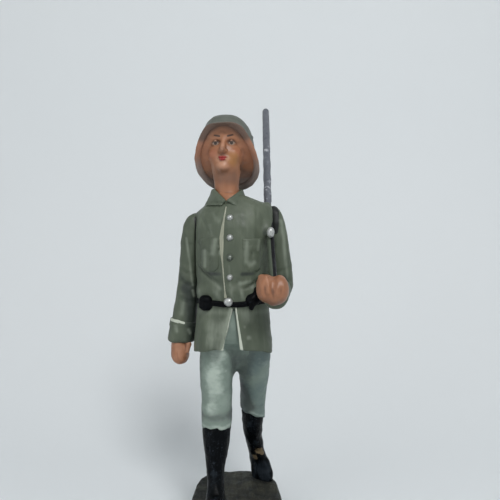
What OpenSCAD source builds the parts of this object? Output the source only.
// Marching toy soldier of painted composition, moulded round iron wires, on a slab base.
// The figure faces -Y, its own left is +X, and Z = 0 is the underside of the base.

/* [Base] */
// Length of the base slab from front to back
base_l = 30.5; // [28:0.5:36]
// Width of the base slab at the ground
base_w = 18; // [17:0.5:24]
// Thickness of the base slab
base_h = 4; // [3:0.25:6]
// Width that the slab loses on each side from the ground to its top
base_slope = 1; // [0.4:0.1:1.6]

/* [Boots] */
// Height of the right boot's top above the base
boot_h = 14.2; // [12.5:0.1:15]
// Height of the left boot's top above the base
rear_boot_h = 14.2; // [12.5:0.1:15]
// Length of a boot's sole
boot_l = 10; // [9:0.1:11]
// Width of a boot shaft at its top
boot_w = 5; // [4.6:0.05:5.4]
// Angle by which the left foot turns out
toe_out = 46; // [32:1:56]

/* [Trousers] */
// Height of the crotch above the base
inseam = 23; // [21.5:0.1:24]
// Width of a trouser leg at the hem of the tunic
thigh_w = 6; // [5.4:0.05:6.3]
// Depth of a trouser leg at the hem of the tunic
thigh_d = 7; // [6.2:0.05:7.6]
// Distance between the middles of the two thighs
thigh_gap = 7; // [6.6:0.05:7.4]

/* [Tunic] */
// Height of the belt's middle above the base
belt_rise = 36.2; // [35:0.1:38]
// Height of the chest from the belt's middle to the neck seat
chest_h = 18.6; // [17:0.1:20]
// Width of the chest
chest_w = 13.4; // [12.6:0.1:14]
// Depth of the chest
chest_d = 9.8; // [9:0.1:11]
// Length of the tunic's skirt below the belt's middle
skirt_h = 7.9; // [7.2:0.1:9]
// Width of the skirt at its hem
skirt_w = 14.2; // [13.4:0.1:15]
// Depth of the skirt at its hem
skirt_d = 11.4; // [10.4:0.1:12.4]
// Wall of the skirt round the trousers
skirt_wall = 0.8; // [0.6:0.05:1]
// Height of the collar
collar_h = 2.4; // [1.8:0.1:3]

/* [Buttons and belt] */
// Number of buttons down the front
button_count = 4; // [3:1:5]
// Diameter of a tunic button
button_d = 1.05; // [0.8:0.05:1.3]
// Distance between neighbouring buttons
button_pitch = 3.4; // [3:0.05:3.6]
// Diameter of the buckle boss
buckle_d = 1.65; // [1.4:0.05:2]
// Height of the belt band
belt_h = 1; // [0.8:0.05:1.3]
// Thickness of the belt band
belt_t = 0.35; // [0.25:0.05:0.5]
// Width of a cartridge pouch
pouch_w = 2.6; // [2.1:0.1:2.8]
// Height of a cartridge pouch
pouch_h = 2.7; // [2.2:0.1:3.2]
// Distance that a pouch stands off the belt
pouch_t = 0.8; // [0.6:0.05:1.1]

/* [Arms] */
// Width of a sleeve at the upper arm
sleeve_w = 3.5; // [3.1:0.05:3.9]
// Depth of a sleeve at the upper arm
sleeve_d = 4.2; // [3.8:0.05:4.8]
// Length of the right sleeve from the shoulder to the cuff's edge
sleeve_l = 24; // [22.5:0.1:25]
// Length of the left upper arm from the shoulder to the elbow's underside
upper_arm_l = 16.8; // [15.5:0.1:18]
// Length of the left forearm sleeve from the elbow to the cuff's edge
forearm_l = 10.6; // [9.5:0.1:11.5]
// Height of a cuff
cuff_h = 3.2; // [2.6:0.1:3.6]
// Length of the right hand below its cuff
hand_l = 4.9; // [4.4:0.1:5.6]
// Width of the left fist
fist_w = 4.9; // [4.5:0.05:5.2]
// Height of the left fist
fist_h = 5.1; // [4.7:0.05:5.5]

/* [Head] */
// Width of the head at the cheekbones
head_w = 7.2; // [6.8:0.1:7.6]
// Height of the head from chin to crown
head_h = 10.2; // [9.6:0.1:10.8]
// Depth of the head from brow to nape
head_d = 8.8; // [8.2:0.1:9.4]
// Diameter of the neck
neck_d = 4.6; // [4.2:0.05:5]
// Height of the chin above the neck seat
neck_h = 3.6; // [3.2:0.1:4.2]
// Angle by which the head leans back
head_tilt = 14; // [6:1:20]
// Angle by which the head turns to its own right
head_turn = 8; // [0:1:14]
// Width of the helmet's rim over the ears
rim_w = 11.9; // [11.4:0.1:12.6]
// Length of the helmet's rim from peak to neck guard
rim_l = 13.4; // [12.8:0.1:14.2]
// Thickness of the helmet's wall
helmet_wall = 0.7; // [0.5:0.05:0.9]

/* [Rifle] */
// Length of the rifle from the butt to the muzzle
rifle_l = 51.5; // [46:0.5:56]
// Angle of the rifle from upright
rifle_lean = 41.5; // [40:0.5:44]
// Diameter of the barrel
barrel_d = 1.35; // [1.1:0.05:1.6]
// Width of the stock from side to side
stock_w = 1.4; // [1.2:0.05:1.6]
// Depth of the butt
butt_d = 3; // [2.6:0.1:3.3]
// Diameter of the bolt's knob
knob_d = 1.5; // [1.2:0.05:1.8]

/* [Wires] */
// Diameter of the iron wires inside the figure
wire_d = 0.9; // [0.7:0.05:1.1]
// Clearance round a wire in its bore
wire_gap = 0.03; // [0.02:0.01:0.05]
// Depth of a leg wire's bore in the base
wire_foot = 2.4; // [1.6:0.1:2.8]
// Diameter of the peg under the neck
peg_d = 2.2; // [1.8:0.1:2.6]
// Length of the peg under the neck
peg_l = 3.4; // [2.6:0.1:4]
// Clearance round the neck peg in its socket
peg_gap = 0.05; // [0.02:0.01:0.08]

/* [Hidden] */

// Smoothness of bores, wires and domes
$fn = 32;
// Number of points round a lofted form, and round a small one
sides = 24;
small_sides = 16;
// Overrun of every cut
cut = 0.2;

// Colours as painted
field_green = "#5f6a58";
trouser_green = "#7d958a";
boot_black = "#14161a";
skin = "#b87c58";
helmet_green = "#666a5e";
base_grey = "#3c3e3a";
silver = "#b4b6b4";
gun_grey = "#6a6d74";
wire_grey = "#77736c";
edge_cream = "#b9b7a4";

// Middle of the body, as a share of the chest's width to its own right
body_x = -0.04 * chest_w;
body_y = 0;

// Levels
belt_z = base_h + belt_rise;
neck_z = belt_z + chest_h;
hem_z = belt_z - skirt_h;
crotch_z = base_h + inseam;
boot_z = base_h + boot_h;
rear_boot_z = base_h + rear_boot_h;

// Shoulders, where the arm wires turn down
shoulder_z = belt_z + 0.86 * chest_h;
right_shoulder = [body_x - 0.5 * chest_w - 0.3 * sleeve_w, 0.3 * sleeve_d, shoulder_z];
left_shoulder = [body_x + 0.5 * chest_w + 0.3 * sleeve_w, 0.3 * sleeve_d, shoulder_z];

// Forms along a stack of rings

function power(v, p) = sign(v) * pow(abs(v), p);

// A ring round c with the half-axes a and b; p under 1 squares it off
function ring(c, a, b, n, p) =
    [for (i = [0:n - 1]) let (t = 360 * i / n) c + a * power(cos(t), p) + b * power(sin(t), p)];

// Closed skin over rings that all have the same number of points
module loft(rings) {
    n = len(rings[0]);
    last = len(rings) - 1;
    polyhedron(
        points = [for (r = rings) each r],
        faces = concat(
            [[for (i = [0:n - 1]) i]],
            [for (k = [0:last - 1]) for (i = [0:n - 1])
                [k * n + i, (k + 1) * n + i, (k + 1) * n + (i + 1) % n]],
            [for (k = [0:last - 1]) for (i = [0:n - 1])
                [k * n + i, (k + 1) * n + (i + 1) % n, k * n + (i + 1) % n]],
            [[for (i = [n - 1:-1:0]) last * n + i]]
        )
    );
}

// Upright form: each row gives height, middle in x and y, half-width and half-depth,
// as shares of size = [width, depth, height]
module upright(shares, origin, size, n = sides, p = 0.9) {
    loft([for (s = shares)
        ring(origin + [s[1] * size[0], s[2] * size[1], s[0] * size[2]],
            [s[3] * size[0], 0, 0], [0, s[4] * size[1], 0], n, p)]);
}

// Form along a line from start to end: each row gives the distance along it, the shift
// sideways and upwards, and the two half-sizes, as shares of size = [width, height, length]
module along(start, end, shares, size, n = small_sides, p = 0.9) {
    way = (end - start) / norm(end - start);
    flat = cross(way, [0, 0, 1]);
    side = flat / norm(flat);
    up = cross(side, way);
    loft([for (s = shares)
        ring(start + way * (s[0] * size[2]) + side * (s[1] * size[0]) + up * (s[2] * size[1]),
            side * (s[3] * size[0]), up * (-s[4] * size[1]), n, p)]);
}

// Straight round bar between two points
module bar(start, end, d) {
    way = end - start;
    translate(start)
        rotate([0, acos(way[2] / norm(way)), atan2(way[1], way[0])])
            cylinder(d = d, h = norm(way));
}

// Wires of the armature

// Feet and hips on the legs' wires
right_ankle = [-0.5 * thigh_gap + 0.02 * thigh_w, -0.5 * thigh_d, base_h];
left_ankle = [0.5 * thigh_gap + 0.07 * thigh_w, 1.44 * thigh_d, base_h];
right_hip = [-0.5 * thigh_gap, 0.3 * thigh_d, belt_z - 0.1 * skirt_h];
left_hip = [0.5 * thigh_gap - 0.05 * thigh_w, 0.09 * thigh_d, belt_z - 0.1 * skirt_h];

module leg_wire(ankle, hip, d) {
    way = (hip - ankle) / norm(hip - ankle);
    bar(ankle - way * (wire_foot / way[2]), hip, d);
}

module right_leg_line(d) leg_wire(right_ankle, right_hip, d);
module left_leg_line(d) leg_wire(left_ankle, left_hip, d);

module right_leg_wire() color(wire_grey) right_leg_line(wire_d);
module left_leg_wire() color(wire_grey) left_leg_line(wire_d);
module leg_bores() {
    right_leg_line(wire_d + 2 * wire_gap);
    left_leg_line(wire_d + 2 * wire_gap);
}

// Base slab: a rounded oblong with sloping sides
module base_form() {
    loft([for (s = base_shares)
        ring([0, 0, s[0] * base_h], [base_w / 2 - s[1] * base_slope, 0, 0],
            [0, base_l / 2 - s[1] * base_slope, 0], sides, 0.55)]);
}
base_shares = [[0, 0], [0.45, 0.3], [0.85, 0.75], [1, 1]];

module base() color(base_grey) difference() {
    base_form();
    leg_bores();
}

// Boots: height, middle x and y, half-width and half-depth
right_boot_shares = [
    [0, 0.01, -0.36, 0.33, 0.5], [0.08, 0.01, -0.36, 0.37, 0.52], [0.15, 0.01, -0.31, 0.36, 0.47],
    [0.23, 0, -0.19, 0.33, 0.34], [0.3, 0, -0.08, 0.3, 0.23], [0.4, -0.01, -0.02, 0.29, 0.18],
    [0.52, -0.02, 0.02, 0.31, 0.2], [0.7, 0, 0.07, 0.4, 0.235], [0.88, 0, 0.11, 0.465, 0.265],
    [1, 0, 0.145, 0.5, 0.275]
];
// The left boot's rows end in the share of the toes' turn that the ring takes
left_boot_shares = [
    [0, 0.2, -0.03, 0.3, 0.26, 1], [0.06, 0.22, -0.04, 0.36, 0.34, 1], [0.13, 0.18, -0.03, 0.37, 0.36, 1],
    [0.2, 0.11, -0.01, 0.365, 0.33, 1], [0.28, 0.02, 0, 0.35, 0.27, 0.8],
    [0.37, -0.06, -0.05, 0.32, 0.21, 0.5], [0.47, -0.11, -0.1, 0.33, 0.2, 0.3],
    [0.65, -0.16, -0.2, 0.345, 0.215, 0], [0.85, -0.18, -0.32, 0.385, 0.24, 0],
    [1, -0.18, -0.39, 0.44, 0.26, 0]
];

module right_boot_form() {
    upright(right_boot_shares, right_ankle, [boot_w, boot_l, boot_h]);
}
module left_boot_form() {
    loft([for (s = left_boot_shares) let (
        turn = s[5] * toe_out, half_w = s[3] * boot_w, half_l = s[4] * boot_l
    ) ring(left_ankle + [s[1] * boot_w, s[2] * boot_l, s[0] * rear_boot_h],
        half_w * [cos(turn), sin(turn), 0], half_l * [-sin(turn), cos(turn), 0], sides, 0.9)]);
}
module right_boot() color(boot_black) difference() {
    right_boot_form();
    leg_bores();
}
module left_boot() color(boot_black) difference() {
    left_boot_form();
    leg_bores();
}

// Trousers: two legs that stand in the seat, from the boots' tops to above the hem
leg_top_z = hem_z + 0.35 * skirt_h;
right_leg_foot = [right_ankle[0], right_ankle[1] + 0.145 * boot_l, boot_z];
left_leg_foot = [left_ankle[0] - 0.18 * boot_w, left_ankle[1] - 0.39 * boot_l, rear_boot_z];
right_leg_shares = [
    [0, 0, 0, 0.43, 0.4], [0.1, 0, 0.02, 0.45, 0.43], [0.28, 0, 0.12, 0.44, 0.43],
    [0.5, -0.03, 0.25, 0.485, 0.46], [0.7, -0.02, 0.36, 0.51, 0.49], [1, -0.02, 0.46, 0.5, 0.5]
];
left_leg_shares = [
    [0, 0, 0, 0.385, 0.38], [0.1, 0, -0.03, 0.4, 0.4], [0.28, 0.02, -0.15, 0.42, 0.41],
    [0.5, 0.04, -0.36, 0.465, 0.43], [0.72, 0.05, -0.58, 0.49, 0.43], [0.86, 0.05, -0.67, 0.49, 0.43],
    [1, 0.05, -0.73, 0.48, 0.43]
];

module right_leg_form() {
    upright(right_leg_shares, right_leg_foot, [thigh_w, thigh_d, leg_top_z - boot_z]);
}
module left_leg_form() {
    upright(left_leg_shares, left_leg_foot, [thigh_w, thigh_d, leg_top_z - rear_boot_z]);
}
module trousers_right_leg() color(trouser_green) difference() {
    right_leg_form();
    leg_bores();
}
module trousers_left_leg() color(trouser_green) difference() {
    left_leg_form();
    leg_bores();
}

// The seat fills the skirt between and round the legs and ends in the crotch
seat_w = skirt_w - 2 * skirt_wall;
seat_d = skirt_d - 2 * skirt_wall;
seat_h = belt_z - belt_h - crotch_z;
seat_shares = [
    [0, 0, 0.2, 0.05, 0.08], [0.1, 0, 0.18, 0.12, 0.15], [0.2, 0, 0.14, 0.19, 0.22],
    [0.32, 0, 0.08, 0.3, 0.3], [0.38, 0, 0, 0.49, 0.475], [0.6, 0, 0, 0.475, 0.465],
    [0.8, 0, 0, 0.45, 0.425], [1, 0, 0, 0.42, 0.39]
];
module seat_form() {
    upright(seat_shares, [body_x, body_y, crotch_z], [seat_w, seat_d, seat_h]);
}
module trousers_seat() color(trouser_green) difference() {
    seat_form();
    right_leg_form();
    left_leg_form();
    leg_bores();
    spine_bore();
}

// Tunic

waist_w = 0.955 * chest_w;
waist_d = 0.94 * chest_d;
// Each row ends in its share of the drop that the hem takes towards the sides
side_drop = 0.15 * skirt_h;
skirt_shares = [
    [0, 0.5, 0.5, 1], [0.12, 0.5, 0.495, 1], [0.5, 0.475, 0.45, 0.5], [0.85, 0.455, 0.412, 0]
];
// Front opening of the skirt, from the belt down to the hem: middle x and half-width
opening_top = [0.02 * skirt_w, 0.015 * skirt_w];
opening_foot = [-0.01 * skirt_w, 0.11 * skirt_w];

module skirt_form() {
    origin = [body_x, body_y, hem_z];
    loft([
        for (s = skirt_shares) [
            for (q = ring(origin + [0, 0, s[0] * skirt_h],
                [s[1] * skirt_w, 0, 0], [0, s[2] * skirt_d, 0], sides, 0.9))
                    q - [0, 0, s[3] * side_drop * pow((q[0] - body_x) / (s[1] * skirt_w), 2)]
        ],
        ring([body_x, body_y, belt_z], [waist_w / 2, 0, 0], [0, waist_d / 2, 0], sides, 0.9)
    ]);
}
module skirt_opening() {
    depth = skirt_d / 2 - 2.4 * skirt_wall;
    translate([body_x, -depth, 0]) rotate([90, 0, 0]) linear_extrude(skirt_d)
        polygon([
            [opening_foot[0] - opening_foot[1], hem_z - cut],
            [opening_foot[0] + opening_foot[1], hem_z - cut],
            [opening_top[0] + opening_top[1], belt_z - belt_h / 2],
            [opening_top[0] - opening_top[1], belt_z - belt_h / 2]
        ]);
}
module tunic_skirt() color(field_green) difference() {
    skirt_form();
    seat_form();
    right_leg_form();
    left_leg_form();
    skirt_opening();
    leg_bores();
    spine_bore();
}

// Chest: height, middle x, half-width and half-depth. The left shoulder, under the rifle,
// stands higher than the right
chest_shares = [
    [0.15, 0, 0.485, 0.485], [0.45, 0, 0.5, 0.51], [0.7, 0, 0.5, 0.5], [0.82, 0.01, 0.495, 0.44],
    [0.89, 0.04, 0.46, 0.365], [0.935, 0.06, 0.39, 0.31], [0.97, 0.03, 0.3, 0.27], [1, -0.03, 0.23, 0.24]
];
module chest_form(grow = 0) {
    origin = [body_x, body_y, belt_z];
    loft([
        ring(origin, [waist_w / 2 + grow, 0, 0], [0, waist_d / 2 + grow, 0], sides, 0.9),
        for (s = chest_shares) ring(origin + [s[1] * chest_w, 0, s[0] * chest_h],
            [s[2] * chest_w + grow, 0, 0], [0, s[3] * chest_d + grow, 0], sides, 0.9)
    ]);
}
module tunic_body() color(field_green) difference() {
    chest_form();
    neck_peg(peg_gap, cut);
    spine_bore();
    arm_bores();
    stock_form();
}

// Collar round the neck: each row gives height, spread and how far the front dips
collar_spread = 0.75 * neck_d;
collar_shares = [[-0.45, 1.2, 0.5], [-0.05, 1.06, 0.5], [0.35, 0.88, 0.62], [0.62, 0.78, 0.72]];
module collar_form() {
    loft([for (s = collar_shares)
        [for (i = [0:sides - 1]) let (t = 360 * i / sides)
            [neck_x, neck_y, neck_z] + [
                s[1] * collar_spread * cos(t),
                1.05 * s[1] * collar_spread * sin(t),
                collar_h * (s[0] - s[2] * pow(max(0, -sin(t)), 2.5))
            ]]]);
}
module tunic_collar() color(field_green) difference() {
    collar_form();
    neck_form();
    chest_form();
}

// Relief that lies on the chest: the outline stands in x and z, and the skin takes its curve
relief = 0.25;
module chest_relief(grow) {
    difference() {
        intersection() {
            chest_form(grow);
            translate([body_x, 0, belt_z]) rotate([90, 0, 0]) linear_extrude(chest_d) children();
        }
        chest_form();
    }
}
// Edge of the tunic's right front, a bowed strip beside the buttons
edge_shares = [[0.06, -0.055], [0.3, -0.115], [0.55, -0.135], [0.75, -0.12], [0.89, -0.08]];
edge_w = 0.03 * chest_w;
module tunic_front_edge() color(edge_cream) chest_relief(0.6 * relief)
    polygon([
        for (s = edge_shares) [s[1] * chest_w - edge_w / 2, s[0] * chest_h],
        for (i = [len(edge_shares) - 1:-1:0])
            [edge_shares[i][1] * chest_w + edge_w / 2, edge_shares[i][0] * chest_h]
    ]);

// Breast pockets: a flap over a bag
pocket_w = 0.25 * chest_w;
pocket_h = 0.32 * chest_h;
module pocket_outline() {
    polygon([
        [-0.5 * pocket_w, pocket_h], [0.5 * pocket_w, pocket_h], [0.5 * pocket_w, 0.15 * pocket_h],
        [0.3 * pocket_w, 0], [-0.3 * pocket_w, 0], [-0.5 * pocket_w, 0.15 * pocket_h]
    ]);
}
module right_breast_pocket() color(field_green) chest_relief(relief)
    translate([-0.29 * chest_w, 0.28 * chest_h]) pocket_outline();
module left_breast_pocket() color(field_green) chest_relief(relief)
    translate([0.25 * chest_w, 0.28 * chest_h]) pocket_outline();

// Dome that looks forward from a place on the front
dome_shares = [
    [-0.3, 0, 0, 0.46, 0.46], [0.05, 0, 0, 0.5, 0.5], [0.25, 0, 0, 0.43, 0.43], [0.4, 0, 0, 0.3, 0.3],
    [0.5, 0, 0, 0.1, 0.1]
];
module dome(place, d) along(place, place - [0, d, 0], dome_shares, [d, d, d], small_sides, 1);

// Buttons: domes on the chest's front, from just above the belt upwards
button_x = body_x - 0.03 * chest_w;
first_button_z = belt_z + 0.24 * chest_h;
function chest_half_depth(z) = lookup((z - belt_z) / chest_h,
    concat([[0, waist_d / 2]], [for (s = chest_shares) [s[0], s[3] * chest_d]]));
module tunic_buttons() color(silver) difference() {
    for (i = [0:button_count - 1]) let (z = first_button_z + i * button_pitch)
        dome([button_x, body_y - chest_half_depth(z), z], button_d);
    chest_form();
    collar_form();
}

// Belt, buckle and pouches
module belt_form() {
    loft([for (end = [-0.5, 0.5]) ring([body_x, body_y, belt_z + end * belt_h],
        [waist_w / 2 + belt_t, 0, 0], [0, waist_d / 2 + belt_t, 0], sides, 0.9)]);
}
module belt() color(boot_black) difference() {
    belt_form();
    skirt_form();
    chest_form();
}
module belt_buckle() color(silver) difference() {
    dome([body_x - 0.05 * chest_w, body_y - waist_d / 2 - belt_t, belt_z + 0.25 * belt_h], buckle_d);
    belt_form();
    skirt_form();
    chest_form();
}
pouch_shares = [
    [0, 0, 0, 0.3, 0.36], [0.12, 0, 0, 0.44, 0.48], [0.5, 0, 0, 0.5, 0.5], [0.86, 0, 0, 0.45, 0.48],
    [1, 0, 0, 0.32, 0.36]
];
// A pouch hangs on the belt at a share of the waist's half-width
module pouch(place_share, rise) {
    front = waist_d / 2 * sqrt(1 - place_share * place_share) + belt_t;
    difference() {
        upright(pouch_shares,
            [body_x + place_share * waist_w / 2, body_y - front + 0.3 * pouch_t, belt_z + rise - pouch_h / 2],
            [pouch_w, 2.6 * pouch_t, pouch_h], small_sides, 0.6);
        belt_form();
        skirt_form();
        chest_form();
    }
}
module right_pouch() color(boot_black) pouch(-0.72, 0);
module left_pouch() color(boot_black) pouch(0.5, 0.3 * belt_h);

// Arms

right_wrist = right_shoulder + [-0.63 * sleeve_w, 0.46 * sleeve_d, 0.01 * sleeve_l - sleeve_l];
left_elbow = [left_shoulder[0] + 0.33 * sleeve_w, left_shoulder[1] + 0.22 * sleeve_d,
    left_shoulder[2] - 0.83 * upper_arm_l];
left_wrist = left_elbow + [-0.5 * sleeve_w, -forearm_l, -0.06 * sleeve_d];
left_palm = left_wrist + [-0.1 * fist_w, 0, 0.25 * fist_h];

// Wire of one arm, which bends forward and sideways but never back on itself
wire_sides = 10;
function unit(v) = v / norm(v);
function arm_way(way, i) = i == 0 ? unit(way[1] - way[0])
    : i == len(way) - 1 ? unit(way[i] - way[i - 1])
    : unit(unit(way[i] - way[i - 1]) + unit(way[i + 1] - way[i]));
// Corners of a way, each cut to an arc of three points at the bend's reach
bend_reach = 1.6 * wire_d;
function bent(way) = [
    way[0],
    for (i = [1:len(way) - 2]) let (
        from = way[i] + bend_reach * unit(way[i - 1] - way[i]),
        to = way[i] + bend_reach * unit(way[i + 1] - way[i])
    ) each [from, (from + 2 * way[i] + to) / 4, to],
    way[len(way) - 1]
];
module arm_line(corners, d, flat) {
    way = bent(corners);
    loft([for (i = [0:len(way) - 1]) let (
        a = unit(cross(arm_way(way, i), flat)), b = cross(arm_way(way, i), a)
    ) ring(way[i], a * d / 2, b * d / 2, wire_sides, 1)]);
}
// Depth of the wires under the shoulders
arm_drop = [0, 0, 0.09 * chest_h];
module right_arm_line(d) arm_line([
    [body_x - 0.2 * chest_w, right_shoulder[1], shoulder_z] - arm_drop, right_shoulder - arm_drop,
    right_wrist - [0, 0, 0.35 * hand_l]
], d, [0, 1, 0]);
module left_arm_line(d) arm_line([
    [body_x + 0.16 * chest_w, left_shoulder[1], shoulder_z] - arm_drop, left_shoulder - arm_drop,
    left_elbow, left_wrist - [0, 0.25 * fist_w, 0]
], d, [0.6, 0.8, 0.1]);
module right_arm_wire() color(wire_grey) right_arm_line(wire_d);
module left_arm_wire() color(wire_grey) left_arm_line(wire_d);
module arm_bores() {
    right_arm_line(wire_d + 2 * wire_gap);
    left_arm_line(wire_d + 2 * wire_gap);
}

// Right sleeve from its cuff's edge to the shoulder: height, middle, half-width, half-depth
right_sleeve_shares = [
    [0, -0.54, 0.46, 0.7, 0.5], [0.13, -0.43, 0.43, 0.67, 0.49], [0.285, -0.26, 0.38, 0.62, 0.5],
    [0.44, -0.17, 0.3, 0.54, 0.49], [0.6, -0.11, 0.2, 0.49, 0.49], [0.74, -0.03, 0.1, 0.5, 0.49],
    [0.86, 0.08, 0.02, 0.48, 0.46], [0.925, 0.18, 0, 0.37, 0.36], [0.96, 0.25, 0, 0.18, 0.18]
];
right_sleeve_foot = right_shoulder - [0, 0, 0.97 * sleeve_l];
module right_sleeve_form(grow = 0) {
    loft([for (s = right_sleeve_shares)
        ring(right_sleeve_foot + [s[1] * sleeve_w, s[2] * sleeve_d, s[0] * sleeve_l],
            [s[3] * sleeve_w + grow, 0, 0], [0, s[4] * sleeve_d + grow, 0], sides, 0.9)]);
}
// Half-space under the cuff's upper edge
module below(z) {
    translate([-2 * chest_w, -2 * chest_w, z - 2 * sleeve_l])
        cube([4 * chest_w, 4 * chest_w, 2 * sleeve_l]);
}
cuff_z = right_sleeve_foot[2] + cuff_h;
cuff_t = 0.5 * relief;
module right_sleeve() color(field_green) difference() {
    right_sleeve_form();
    chest_form();
    below(cuff_z);
    arm_bores();
}
module right_cuff() color(field_green) difference() {
    intersection() {
        right_sleeve_form(cuff_t);
        below(cuff_z);
    }
    skirt_form();
    chest_form();
    arm_bores();
}

// Right hand with curled fingers, hanging from the cuff
hand_w = 0.98 * sleeve_w;
hand_d = 0.95 * sleeve_d;
right_hand_shares = [
    [0, 0.04, -0.06, 0.26, 0.28], [0.1, 0.03, -0.05, 0.4, 0.4], [0.3, 0.02, -0.02, 0.48, 0.48],
    [0.65, 0, 0, 0.5, 0.5], [0.88, 0, 0, 0.45, 0.44], [1, 0, 0, 0.42, 0.4]
];
module right_hand() color(skin) difference() {
    upright(right_hand_shares,
        right_sleeve_foot + [-0.63 * sleeve_w, 0.46 * sleeve_d, -hand_l], [hand_w, hand_d, hand_l],
        small_sides);
    arm_bores();
}

// Left upper arm from the elbow's underside to the shoulder
left_sleeve_shares = [
    [0, 0.34, 0.22, 0.26, 0.28], [0.05, 0.36, 0.22, 0.44, 0.44], [0.13, 0.38, 0.22, 0.53, 0.52],
    [0.24, 0.37, 0.2, 0.54, 0.53], [0.42, 0.27, 0.14, 0.52, 0.51], [0.64, 0.13, 0.06, 0.51, 0.5],
    [0.81, 0, 0, 0.49, 0.47], [0.93, -0.09, 0, 0.38, 0.38], [1, -0.15, 0, 0.17, 0.18]
];
module left_sleeve_form() {
    upright(left_sleeve_shares, left_shoulder - [0, 0, 0.93 * upper_arm_l],
        [sleeve_w, sleeve_d, upper_arm_l]);
}
module left_sleeve() color(field_green) difference() {
    left_sleeve_form();
    chest_form();
    arm_bores();
    stock_form();
}
// Left forearm, from behind the elbow to the cuff's edge
forearm_shares = [
    [-0.12, 0, 0, 0.3, 0.28], [0, 0, 0, 0.47, 0.44], [0.25, 0, 0, 0.53, 0.52],
    [0.6, 0, 0, 0.55, 0.53], [0.72, 0, 0, 0.56, 0.54]
];
cuff_shares = [[0.72, 0, 0, 0.6, 0.57], [0.95, 0, 0, 0.62, 0.59], [1, 0, 0, 0.58, 0.55]];
module forearm_form() {
    along(left_elbow, left_wrist, forearm_shares, [sleeve_w, sleeve_d, forearm_l], sides);
}
module left_cuff_form() {
    along(left_elbow, left_wrist, cuff_shares, [sleeve_w, sleeve_d, forearm_l], sides);
}
module left_forearm_sleeve() color(field_green) difference() {
    forearm_form();
    left_sleeve_form();
    chest_form();
    arm_bores();
}
module left_cuff() color(field_green) difference() {
    left_cuff_form();
    chest_form();
    arm_bores();
}
// Left fist round the butt of the rifle
fist_l = 0.98 * fist_w;
fist_shares = [
    [0, 0, 0, 0.34, 0.36], [0.12, 0, 0, 0.42, 0.44], [0.45, 0, 0, 0.5, 0.5], [0.8, 0, 0, 0.48, 0.48],
    [0.94, 0, 0, 0.38, 0.4], [1, 0, 0, 0.24, 0.26]
];
module fist_form() {
    along(left_palm, left_palm - [0, fist_l, 0], fist_shares, [fist_w, fist_h, fist_l], small_sides, 0.8);
}
module left_hand() color(skin) difference() {
    fist_form();
    left_cuff_form();
    arm_bores();
    stock_form();
}

// Neck and head

neck_x = body_x - 0.08 * chest_w;
neck_y = body_y + 0.05 * chest_d;
chin = [neck_x - 0.05 * neck_d, neck_y + 0.05 * neck_d, neck_z + neck_h];

module neck_peg(gap, over) {
    translate([neck_x, neck_y, neck_z - peg_l - gap])
        cylinder(d = peg_d + 2 * gap, h = peg_l + gap + over);
}
module spine_line(d) {
    bar([body_x, body_y, hem_z + 0.3 * skirt_h], [neck_x, neck_y, neck_z + neck_h + 0.4 * head_h], d);
}
module spine_wire() color(wire_grey) spine_line(wire_d);
module spine_bore() spine_line(wire_d + 2 * wire_gap);

neck_shares = [
    [0, 0, 0, 0.5, 0.5], [0.4, -0.01, -0.01, 0.48, 0.48], [0.8, -0.03, -0.03, 0.5, 0.52],
    [1.3, -0.05, 0, 0.5, 0.5]
];
module neck_form() {
    upright(neck_shares, [neck_x, neck_y, neck_z], [neck_d, neck_d, neck_h]);
}
// Places a form of the head, whose own origin lies level with the chin on the neck's line
module on_neck() {
    translate(chin) rotate([-head_tilt, 0, -head_turn]) children();
}
head_shares = [
    [0, 0, -0.34, 0.14, 0.1], [0.05, 0, -0.25, 0.24, 0.2], [0.13, 0, -0.15, 0.33, 0.32],
    [0.25, 0, -0.07, 0.4, 0.42], [0.4, 0, -0.02, 0.45, 0.47], [0.55, 0, 0, 0.48, 0.49],
    [0.7, 0, 0.02, 0.5, 0.5], [0.84, 0, 0.03, 0.45, 0.45], [0.94, 0, 0.03, 0.31, 0.32],
    [1, 0, 0.03, 0.14, 0.15]
];
nose_shares = [
    [0, 0, 0.05, 0.05, 0.05], [0.12, 0, 0, 0.09, 0.09], [0.4, 0, 0.03, 0.07, 0.09],
    [1, 0, 0.08, 0.05, 0.08]
];
ear_shares = [[0, 0, 0, 0.03, 0.05], [0.3, 0, 0, 0.06, 0.1], [0.75, 0, 0, 0.07, 0.13], [1, 0, 0, 0.04, 0.07]];
module head_form() {
    upright(head_shares, [0, 0, 0], [head_w, head_d, head_h]);
    upright(nose_shares, [0, -0.5 * head_d, 0.36 * head_h], [head_w, head_d, 0.22 * head_h],
        small_sides);
    for (side = [-0.48, 0.48])
        upright(ear_shares, [side * head_w, 0.03 * head_d, 0.34 * head_h],
            [head_w, head_d, 0.26 * head_h], small_sides);
}
module head() color(skin) difference() {
    union() {
        neck_form();
        neck_peg(0, cut);
        on_neck() head_form();
    }
    on_neck() helmet_form();
    spine_bore();
}

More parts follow.
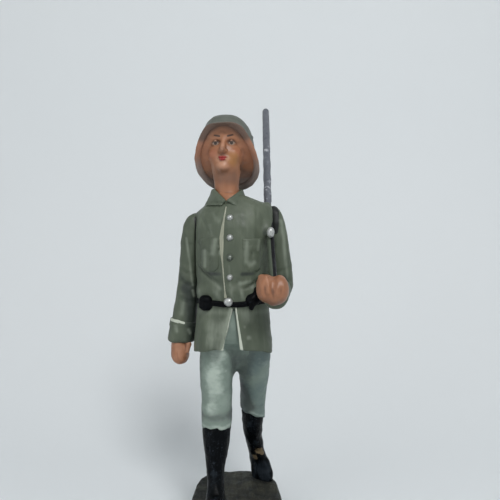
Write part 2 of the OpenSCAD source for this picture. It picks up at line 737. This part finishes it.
// Helmet: a domed shell whose skirt slopes down from the peak over the ears to the neck guard.
// Each row gives the height, half-width, half-length and slope of one ring, and the slope also
// lifts the peak across the brow
helmet_h = 1.12 * head_h;
rim_drop = 0.62 * helmet_h;
peak_lift = 0.08 * helmet_h;
helmet_shares = [
    [0.3, 1, 1, 1], [0.38, 0.93, 0.95, 0.9], [0.5, 0.86, 0.9, 0.74], [0.64, 0.81, 0.86, 0.5],
    [0.78, 0.73, 0.77, 0.28], [0.9, 0.55, 0.58, 0.12], [0.97, 0.34, 0.36, 0.04], [1, 0.12, 0.12, 0]
];
function helmet_ring(s, grow) = let (half_l = s[2] * rim_l / 2 + grow, fall = s[3] * rim_drop / 2)
    [for (i = [0:sides - 1]) let (t = 360 * i / sides)
        [
            (s[1] * rim_w / 2 + grow) * cos(t),
            0.03 * rim_l + half_l * sin(t),
            s[0] * helmet_h + (s[0] == 1 ? grow : 0.4 * grow) - fall * sin(t)
                - s[3] * 0.08 * helmet_h * cos(t) * cos(t)
                + s[3] * peak_lift * pow(max(0, -sin(t)), 4) * (1 + 6 * cos(t) * cos(t))
        ]];
module helmet_form() {
    loft([
        for (i = [len(helmet_shares) - 1:-1:0]) helmet_ring(helmet_shares[i], -helmet_wall),
        for (s = helmet_shares) helmet_ring(s, 0)
    ]);
}
module helmet() color(helmet_green) on_neck() helmet_form();

// Rifle at the slope, from its butt in the left fist over the shoulder to the muzzle

butt = left_palm + [0.05 * fist_w, -0.78 * fist_l, -0.3 * fist_h];
stock_l = 0.44 * rifle_l;
stock_end = butt + stock_l * [-0.027, sin(rifle_lean), cos(rifle_lean)];
muzzle = stock_end + (rifle_l - stock_l) * [0.007, sin(rifle_lean), cos(rifle_lean)];
stock_shares = [
    [0, 0, -0.1, 0.44, 0.42], [0.03, 0, -0.1, 0.5, 0.5], [0.24, 0, -0.04, 0.5, 0.42],
    [0.36, 0, 0, 0.48, 0.25], [0.48, 0, 0, 0.5, 0.3], [0.7, 0, 0, 0.5, 0.29], [1, 0, 0, 0.46, 0.23]
];
tenon_d = 0.55 * barrel_d;
tenon_l = 2 * barrel_d;
module on_stock_end() {
    way = unit(stock_end - butt);
    translate(stock_end) rotate([0, acos(way[2]), atan2(way[1], way[0])]) children();
}
module stock_form() {
    along(butt, stock_end, stock_shares, [stock_w, butt_d, stock_l], small_sides, 0.7);
}
// Barrel with a rounded muzzle, its foot cut square to the stock's end
module barrel_form() {
    way = unit(muzzle - stock_end);
    r = barrel_d / 2;
    l = norm(muzzle - stock_end);
    difference() {
        translate(stock_end) rotate([0, acos(way[2]), atan2(way[1], way[0])]) rotate_extrude()
            polygon([[0, -r], [r, -r], [r, l - 0.6 * r], [0.8 * r, l - 0.2 * r], [0.4 * r, l], [0, l]]);
        on_stock_end() translate([-2 * r, -2 * r, -4 * r]) cube(4 * r);
    }
}
module tenon_form(gap) {
    on_stock_end() translate([0, 0, -tenon_l - gap]) cylinder(d = tenon_d + 2 * gap, h = tenon_l + gap + cut);
}
module rifle_stock() color(boot_black) difference() {
    stock_form();
    tenon_form(wire_gap);
    bolt_stem(wire_gap);
}
module rifle_barrel() color(gun_grey) {
    barrel_form();
    tenon_form(0);
}

// Bolt knob on the stock's front side, on a stem in the stock
bolt_way = unit(stock_end - butt);
bolt_out = unit(cross([1, 0, 0], bolt_way));
bolt_foot = butt + 2.49 * fist_h * bolt_way;
bolt_seat = 0.3 * butt_d;
module bolt_stem(gap) {
    bar(bolt_foot - bolt_out * gap, bolt_foot + bolt_out * (bolt_seat + 0.4 * knob_d), 0.4 * knob_d + 2 * gap);
}
module bolt_form() {
    bolt_stem(0);
    translate(bolt_foot + bolt_out * (bolt_seat + 0.5 * knob_d)) sphere(d = knob_d);
}
module rifle_bolt() color(silver) bolt_form();

base();
right_leg_wire();
left_leg_wire();
right_boot();
left_boot();
trousers_right_leg();
trousers_left_leg();
trousers_seat();
tunic_skirt();
tunic_body();
tunic_collar();
tunic_front_edge();
right_breast_pocket();
left_breast_pocket();
tunic_buttons();
belt();
belt_buckle();
right_pouch();
left_pouch();
right_arm_wire();
right_sleeve();
right_cuff();
right_hand();
left_arm_wire();
left_sleeve();
left_forearm_sleeve();
left_cuff();
left_hand();
spine_wire();
head();
helmet();
rifle_stock();
rifle_barrel();
rifle_bolt();
